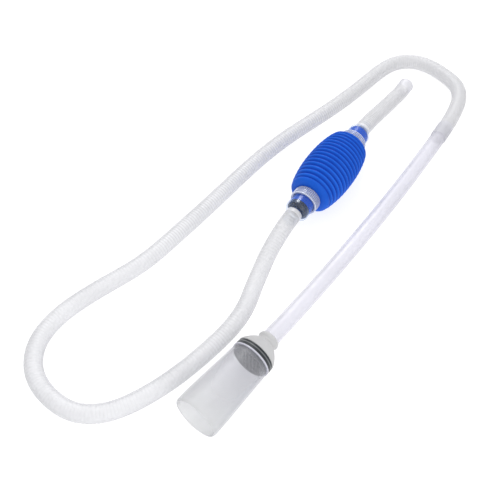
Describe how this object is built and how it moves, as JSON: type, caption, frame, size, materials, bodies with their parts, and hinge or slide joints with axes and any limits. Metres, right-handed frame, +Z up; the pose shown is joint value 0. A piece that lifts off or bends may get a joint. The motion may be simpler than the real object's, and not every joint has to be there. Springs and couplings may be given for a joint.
{
  "type": "gravel vacuum siphon",
  "caption": "Aquarium gravel vacuum: clear gravel tube with domed cap, bowed extension tube, long corrugated hose, ribbed priming bulb with check valves and an outlet hose.",
  "frame": {"origin": "on the floor, under the middle of the rigid parts (everything but the hoses and their cuffs)", "axes": "+Z up from the floor; +Y along the gravel tube, from its mouth towards the cap; +X to the right of that, away from the bulb"},
  "size_m": [0.1893, 0.5725, 0.0514],
  "materials": {
    "clear_plastic": "clear, glossy",
    "frosted_plastic": "frosted, translucent",
    "hose_plastic": "milky translucent, corrugated",
    "dark_plastic": "smooth, satin",
    "blue_bulb": "soft, satin",
    "blue_plastic": "smooth, glossy",
    "dark_rubber": "soft, matte",
    "pale_rubber": "soft, matte",
    "steel_pin": "drawn wire"
  },
  "bodies": {
    "hose_run": {"main_hose": "hose_plastic", "intake_cuff": "hose_plastic", "extension_tube": "clear_plastic", "bulb": "blue_bulb", "inlet_connector": "clear_plastic", "inlet_gasket": "dark_rubber", "inlet_valve_seat": "blue_plastic", "inlet_seal": "dark_rubber", "inlet_flap_pin": "steel_pin"},
    "cap": {"cap_dome": "frosted_plastic", "coupling_ring": "dark_plastic", "strainer_grid": "dark_plastic", "tube_seal_ring": "dark_rubber", "neck_gasket": "pale_rubber"},
    "gravel_tube": {"gravel_tube": "clear_plastic"},
    "inlet_ring": {"inlet_lock_ring": "clear_plastic"},
    "inlet_flap": {"inlet_flap": "dark_rubber"},
    "outlet_end": {"outlet_connector": "clear_plastic", "outlet_gasket": "dark_rubber", "outlet_valve_seat": "blue_plastic", "outlet_flap_pin": "steel_pin", "outlet_hose": "hose_plastic", "outlet_cuff": "hose_plastic"},
    "outlet_ring": {"outlet_lock_ring": "clear_plastic"},
    "outlet_flap": {"outlet_flap": "dark_rubber"}
  },
  "joints": [
    {"name": "bulb_squeeze", "type": "slide", "parent": "hose_run", "child": "outlet_end", "axis": [0.1132, -0.9936, 0], "range_m": [0, 0.018], "stiffness_N_per_m": 900, "deforming": ["bulb"]},
    {"name": "inlet_flap_swing", "type": "hinge", "parent": "hose_run", "child": "inlet_flap", "pos_m": [-0.0268, 0.01661, 0.0321], "axis": [0.9936, 0.1132, 0], "range_deg": [0, 50]},
    {"name": "outlet_flap_swing", "type": "hinge", "parent": "outlet_end", "child": "outlet_flap", "pos_m": [-0.03858, 0.11994, 0.0321], "axis": [0.9936, 0.1132, 0], "range_deg": [0, 50]},
    {"name": "inlet_ring_turn", "type": "hinge", "parent": "hose_run", "child": "inlet_ring", "pos_m": [-0.02785, 0.02579, 0.0257], "axis": [0.1132, -0.9936, 0], "range_deg": [0, 450]},
    {"name": "outlet_ring_turn", "type": "hinge", "parent": "outlet_end", "child": "outlet_ring", "pos_m": [-0.03815, 0.11621, 0.0257], "axis": [-0.1132, 0.9936, 0], "range_deg": [0, 450]},
    {"name": "cap_pull", "type": "slide", "parent": "hose_run", "child": "cap", "axis": [0, -1, 0], "range_m": [0, 0.02]},
    {"name": "gravel_tube_pull", "type": "slide", "parent": "cap", "child": "gravel_tube", "axis": [0, -1, 0], "range_m": [0, 0.04]}
  ]
}
